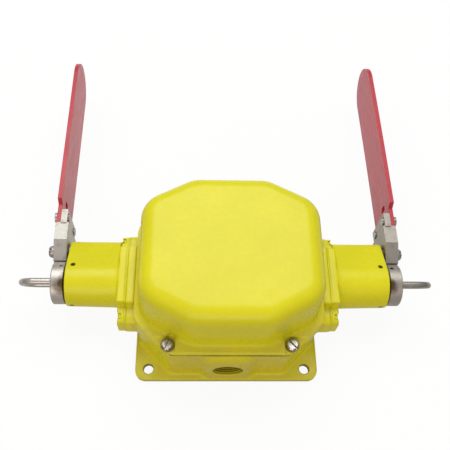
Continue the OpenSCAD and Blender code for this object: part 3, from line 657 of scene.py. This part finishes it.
def from_land_step(x, y):
    """Distance from the two straight steps down to the land of a cover screw, in plan."""
    elsewhere = 50
    step_x = np.abs(np.abs(x) - LAND[0]) + elsewhere * (np.abs(y) < LAND[1] - 1)
    step_y = np.abs(np.abs(y) - LAND[1]) + elsewhere * (np.abs(x) < LAND[0] - 1)
    return np.minimum(step_x, step_y)


def cover_passes(x, y, z):
    """Wide fillet at the dome's foot, round upper edge, and small radii on the rim."""
    from_screw = np.hypot(np.abs(x) - COVER_SCREW[0], np.abs(y) - COVER_SCREW[1])
    off_step = rise(from_land_step(x, y), 1.0, 2.2)
    off_screw = rise(from_screw, HEAD_R + 1, HEAD_R + 2.5)
    step = off_step * off_screw
    near_dome = rise(outside_dome(x, y), 6, 3.5)
    off_joint, under_dome = rise(z, 67, 68), rise(z, 84, 76)
    off_edge = rise(cut_inset(x, y, RIM_HALF, RIM_CORNER), 0.8, 2)
    foot = step * near_dome * off_joint * under_dome * off_edge
    upper = rise(z, 73, 80)
    edges = np.maximum(step, 0.25)
    return [(foot, 3.4), (upper, 1.6), (edges, 0.8)]


def base_passes(x, y, z):
    """Soft conduit pad, fillet at the walls' foot, rounded upright corners, and small radii."""
    joint = 62.6
    skin = rise(cut_inset(x, y, BOX_HALF, BOX_CORNER), 2.4, 1.4)
    from_bore = np.hypot(x, z - CONDUIT_Z)
    off_boss = rise(np.abs(x), BOX_HALF[0] + 0.7, BOX_HALF[0] - 0.3)
    off_bore = rise(from_bore, CONDUIT_R + 0.8, CONDUIT_R + 2.5)
    clear = off_boss * np.where(y < CONDUIT_BACK, off_bore, 1.0)
    from_hole = np.hypot(np.abs(x) - MOUNT_HOLE[0], np.abs(y) - MOUNT_HOLE[1])
    off_hole = rise(from_hole, 5.2, 6.5)
    on_plate, low = rise(z, PLATE_TOP - 0.5, PLATE_TOP), rise(z, 18, 12)
    foot = clear * skin * off_hole * on_plate * low
    plate_inset = np.minimum(PLATE_HALF[0] - np.abs(x), PLATE_HALF[1] - np.abs(y))
    foot = foot * rise(plate_inset, 0.8, 2.4)
    walls = clear * skin * rise(z, 9, 12) * rise(z, joint, joint - 1.4)
    in_pad, off_lip = rise(np.abs(x), 36, 30), rise(from_bore, CONDUIT_R + 1.2, CONDUIT_R + 3)
    pad = (y < 1 - BOX_HALF[1]) * in_pad * off_lip
    pad = pad * rise(z, 8, 11) * rise(z, joint, joint - 2.6)
    return [(pad, 4.6), (foot, 3.2), (walls, 2.4), (np.maximum(off_hole, 0.2), 0.8)]


def spring_housing_passes(x, y, z):
    """Rounded lobes of the tube, fillet at the flange, and small radii."""
    reach, radius = np.abs(x), np.hypot(y, z - SHAFT_Z)
    tube = rise(reach, 98, 102) * rise(reach, 133, 130)
    off_flange, near_flange = rise(reach, TUBE_X - 0.6, TUBE_X), rise(reach, 103, 99)
    foot = off_flange * near_flange * rise(radius, TUBE_R + 4, TUBE_R + 2.5)
    return [(tube, 2.7), (foot, 1.4), (np.ones_like(x), 0.7)]


def even_passes(reach, x, y, z):
    return [(np.ones_like(x), reach)]


def painted_gasket(side):
    """The flange gasket with the paint that bridges its edge."""
    node = side + "_flange_gasket"
    bridge, lap = 0.9 * MM, 0.5 * MM        # how far the paint goes outward and onto its neighbours
    screw = box_mm(side + "_flange_screws")[1][1:] - FLANGE_HEAD_R - (0, SHAFT_Z)
    work = welded_mesh(node)
    for vert in work.verts:
        y, z = vert.co.y / MM, vert.co.z / MM - SHAFT_Z
        from_screw = math.hypot(abs(y) - screw[0], abs(z) - screw[1])
        if math.hypot(y, z) < TUBE_R or from_screw < 3.5:
            continue
        outline = [face.normal for face in vert.link_faces if abs(face.normal.x) < 0.5]
        away = sum(outline, Vector()).normalized()
        outer = 1 if abs(vert.co.x) > (BOSS_X + 0.5) * MM else -1
        vert.co += away * bridge + Vector((math.copysign(lap, vert.co.x) * outer, 0, 0))
    new_piece(node + "_painted", work, "housing", "painted_joint", "yellow_paint", node)


# ---------------------------------------------------------------- machined pieces
def finish_edges(piece, bevel, angle):
    """Breaks the sharp edges with a small bevel and shades the rest smooth."""
    edge = piece.modifiers.new("edge", "BEVEL")
    edge.width = bevel * MM
    edge.segments = 2
    edge.limit_method = "ANGLE"
    edge.angle_limit = math.radians(angle)
    edge.use_clamp_overlap = True
    apply_modifiers(piece)
    shade_edges(piece.data, angle)
    weigh = piece.modifiers.new("weigh", "WEIGHTED_NORMAL")
    weigh.keep_sharp = True
    weigh.weight = 100
    apply_modifiers(piece)


def machined_piece(node, body, bevel, finish=None, angle=30, reshape=None):
    """A turned, milled or cut piece with broken edges. The bevel is in mm."""
    work = welded_mesh(node)
    flat = math.radians(0.8)
    bmesh.ops.dissolve_limit(work, angle_limit=flat, verts=work.verts, edges=work.edges)
    if reshape:
        reshape(work)
    slot = SLOT_OF[node]
    piece = new_piece(node + "_finished", work, body, finish or slot, slot, node)
    finish_edges(piece, bevel, angle)


def bend_blade(across, lift, work):
    """Leaves a blade slightly bent, by this many mm at its tip, as handling leaves it."""
    root = min(v.co.y for v in work.verts)
    length = max(v.co.y for v in work.verts) - root
    for share in (0.3, 0.5, 0.7):
        bmesh.ops.bisect_plane(work, geom=work.verts[:] + work.edges[:] + work.faces[:],
                               plane_co=(0, root + length * share, 0), plane_no=(0, 1, 0))
    for vert in work.verts:
        share = ((vert.co.y - root) / length) ** 2
        vert.co += Vector((across, 0, lift)) * MM * share


def turn_cover_screws(work):
    """Leaves each screw's slot at the angle where its tightening stopped."""
    angles = {(-1, -1): 68, (1, -1): -48, (-1, 1): 15, (1, 1): -80}
    centre = COVER_SCREW * MM
    for (sx, sy), degrees in angles.items():
        picked = [v for v in work.verts if v.co.x * sx > 0 and v.co.y * sy > 0]
        bmesh.ops.rotate(work, verts=picked, cent=(sx * centre[0], sy * centre[1], 0),
                         matrix=Matrix.Rotation(math.radians(degrees), 3, "Z"))


def return_spring(side):
    """The return spring between the washer on the shaft and the end bushing, smoothed by one
    subdivision.
    """
    node = side + "_return_spring"
    slot = SLOT_OF[node]
    piece = new_piece(node + "_coiled", welded_mesh(node), None, slot, slot, node)
    smooth = piece.modifiers.new("smooth", "SUBSURF")
    smooth.levels = smooth.render_levels = 1
    apply_modifiers(piece)
    piece.data.shade_smooth()
    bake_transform(piece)


# ---------------------------------------------------------------- pieces that CAD doesn't have
def conduit_thread():
    """Thread ridge in the conduit entry, swept along its helix."""
    pitch, steps = 1.81, 60         # mm, and rings to a turn
    inset = 1.6                     # mm from the pad's face to the first ring
    turns = (CONDUIT_DEPTH - 2.4) / pitch
    crest, root = CONDUIT_R - 0.8, CONDUIT_R + 0.4
    profile = ((root, -0.85), (crest, -0.12), (crest, 0.12), (root, 0.85))
    work = bmesh.new()
    rings = []
    for step in range(int(turns * steps) + 1):
        angle = 2 * math.pi * step / steps
        along = CONDUIT_FACE + inset + pitch * step / steps
        rings.append([work.verts.new((r * math.cos(angle) * MM, (along + off) * MM,
                                      (CONDUIT_Z + r * math.sin(angle)) * MM))
                      for r, off in profile])
    skin_rings(work, rings)
    bmesh.ops.recalc_face_normals(work, faces=work.faces)
    piece = new_piece("conduit_thread", work, "housing", "painted_joint", "yellow_paint")
    shade_edges(piece.data, 30)


def joint_shadow_bead():
    """Edge of the cover's gasket, squeezed out flush with the rim along its four straight sides;
    its dark colour paints the shadow line under the rim.
    """
    depth, swell = 1.4, 0.22        # mm behind the rim's face, and beyond it
    middle = sum(JOINT) / 2
    profile = ((-depth, JOINT[0]), (0.0, JOINT[0]), (swell, middle),
               (0.0, JOINT[1]), (-depth, JOINT[1]))
    work = bmesh.new()
    for turn in range(4):
        out, along = RIM_HALF[::-1] if turn % 2 else RIM_HALF
        span = along - RIM_CORNER - 1.5
        quarter = Matrix.Rotation(turn * math.pi / 2, 3, "Z")
        rings = []
        for share in np.linspace(-1, 1, 25):
            taper = 1 - 0.25 * share ** 8
            corners = [(out + grow * taper if grow > 0 else out + grow, span * share, z)
                       for grow, z in profile]
            turned = [quarter @ Vector(c) * MM for c in corners]
            rings.append([work.verts.new(c) for c in rounded_rim(turned)])
        skin_rings(work, rings)
    bmesh.ops.recalc_face_normals(work, faces=work.faces)
    new_piece("joint_shadow_bead", work, "housing", "bead", "black_rubber")


# ---------------------------------------------------------------- stage and light
WHITE = (1.0, 1.0, 1.0)
HORIZON = 0.22
CEILING = 0.52
SKY = (1.0, 0.95, 0.92)
PAPER_FRONT = (0.45, 0.44, 0.40)    # what the paper gives back to the object
PAPER_BACK = (0.8, 0.79, 0.76)
PAPER_TURNS = (-0.08, 0.12)         # metres; the front gives way to the back between these
MIRRORED_FRONT = 0.12               # how much of the white background the gloss picks up
MIRRORED_BACK = 0.9
KEY = 12.9
FILL = 7.5
LIGHT_AIM = (0, 0, 0.05)


def make_stage():
    """White paper that the gloss sees less of in front of the object than behind it."""
    work = bmesh.new()
    bmesh.ops.create_grid(work, x_segments=1, y_segments=1, size=6.0)
    mesh = bpy.data.meshes.new("floor")
    work.to_mesh(mesh)
    work.free()
    floor = bpy.data.objects.new("floor", mesh)
    bpy.context.scene.collection.objects.link(floor)
    shader = Shader("floor")
    path = shader.node("ShaderNodeLightPath").outputs
    behind = shader.ramp(shader.component(shader.position(), "Y"), *PAPER_TURNS)
    paper = shader.blend(behind, PAPER_FRONT, PAPER_BACK)
    shader.set(Base_Color=shader.blend(path["Is Camera Ray"], paper, WHITE), Roughness=0.9,
               Specular_IOR_Level=0.0)
    glow = shader.node("ShaderNodeEmission", {"Color": WHITE, "Strength": 1.0})
    direct = shader.product(path["Is Camera Ray"], 0.92)
    through = shader.product(path["Is Transmission Ray"], 0.85)
    share = shader.ramp(behind, 0, 1, MIRRORED_FRONT, MIRRORED_BACK)
    mirrored = shader.product(path["Is Glossy Ray"], share)
    seen = shader.math("MAXIMUM", shader.math("MAXIMUM", direct, through), mirrored)
    shader.show_mix(seen, shader.bsdf, glow, "Material Output")
    mesh.materials.append(shader.material)


def make_world():
    """A bright ceiling over a dim horizon, in front of white."""
    world = bpy.data.worlds.new("world")
    bpy.context.scene.world = world
    world.use_nodes = True
    nodes = Nodes(world.node_tree)
    height = nodes.component(nodes.node("ShaderNodeTexCoord").outputs["Generated"], "Z")
    sky = nodes.tree.nodes["Background"]
    nodes.feed(sky.inputs["Color"], SKY)
    nodes.feed(sky.inputs["Strength"], nodes.ramp(height, 0.0, 0.9, HORIZON, CEILING))
    path = nodes.node("ShaderNodeLightPath").outputs
    mirrored = nodes.product(path["Is Glossy Ray"], MIRRORED_FRONT)
    seen = nodes.math("MAXIMUM", path["Is Camera Ray"], mirrored)
    seen = nodes.math("MAXIMUM", seen, path["Is Transmission Ray"])
    white = nodes.node("ShaderNodeBackground", {"Color": WHITE})
    nodes.show_mix(seen, sky, white, "World Output")


def area_light(name, place, size, power, colour):
    data = bpy.data.lights.new(name, "AREA")
    data.shape = "RECTANGLE"
    data.size, data.size_y = size
    data.energy = power
    data.color = colour
    lamp = bpy.data.objects.new(name, data)
    bpy.context.scene.collection.objects.link(lamp)
    lamp.location = place
    lamp.rotation_euler = (Vector(LIGHT_AIM) - Vector(place)).to_track_quat("-Z", "Y").to_euler()


def make_light():
    """A large soft key behind the object, and a weak warm fill in front."""
    area_light("overhead", place=(-0.05, 0.7, 1.35), size=(1.1, 0.95), power=KEY,
               colour=(0.96, 1.0, 0.97))
    area_light("front_fill", place=(-0.25, -1.35, 0.8), size=(1.2, 0.9), power=FILL,
               colour=(1.0, 0.89, 0.84))


# ---------------------------------------------------------------- build
COLLAR_PIN = {"left": "collar_steel", "right": "black_steel"}
BLADE_BEND = {"left": (-1.2, -2.5), "right": (-1.8, 0.0)}       # mm at the tip: across, up

make_camera()
for node, shape in frame["nodes"].items():
    shape.data.materials.clear()
    shape.data.materials.append(MATERIALS[SLOT_OF[node]])

cast_piece("base_housing", "housing", base_passes, voxel=0.75, keep=0.39)
cast_piece("cover", "housing", cover_passes, voxel=0.65, keep=0.39, reshape=rounded_rim)
machined_piece("cover_screws", "housing", bevel=0.3, finish="screw_steel",
               reshape=turn_cover_screws)
conduit_thread()
joint_shadow_bead()
for side in SIDES:
    flag, pull = side + "_flag", side + "_pull"
    cast_piece(side + "_spring_housing", "housing", spring_housing_passes, voxel=0.5, keep=0.5)
    cast_piece(side + "_flange_screws", "housing", partial(even_passes, 0.4), voxel=0.3, keep=0.6)
    painted_gasket(side)
    machined_piece(side + "_flag_lever", flag, bevel=0.25, angle=14)
    machined_piece(side + "_flag_blade", flag, bevel=0.5,
                   reshape=partial(bend_blade, *BLADE_BEND[side]))
    machined_piece(side + "_flag_rivets", flag, bevel=0.3)
    machined_piece(side + "_collar", pull, bevel=0.25, finish="collar_steel")
    machined_piece(side + "_collar_pin", pull, bevel=0.15, finish=COLLAR_PIN[side])
    cast_piece(side + "_pull_eye", pull, partial(even_passes, 1.1), voxel=0.35, keep=0.6)
    machined_piece(side + "_pivot_bolt", "housing", bevel=0.3)
    machined_piece(side + "_pivot_washer", "housing", bevel=0.2)
    # black set screws; their black also paints the shade deep in their holes
    machined_piece(side + "_set_screws", "housing", bevel=0.15, finish="black_steel")
    machined_piece(side + "_plunger", side + "_plunger_body", bevel=0.1)
    return_spring(side)
make_stage()
make_world()
make_light()
bpy.context.scene.view_settings.view_transform = "Standard"
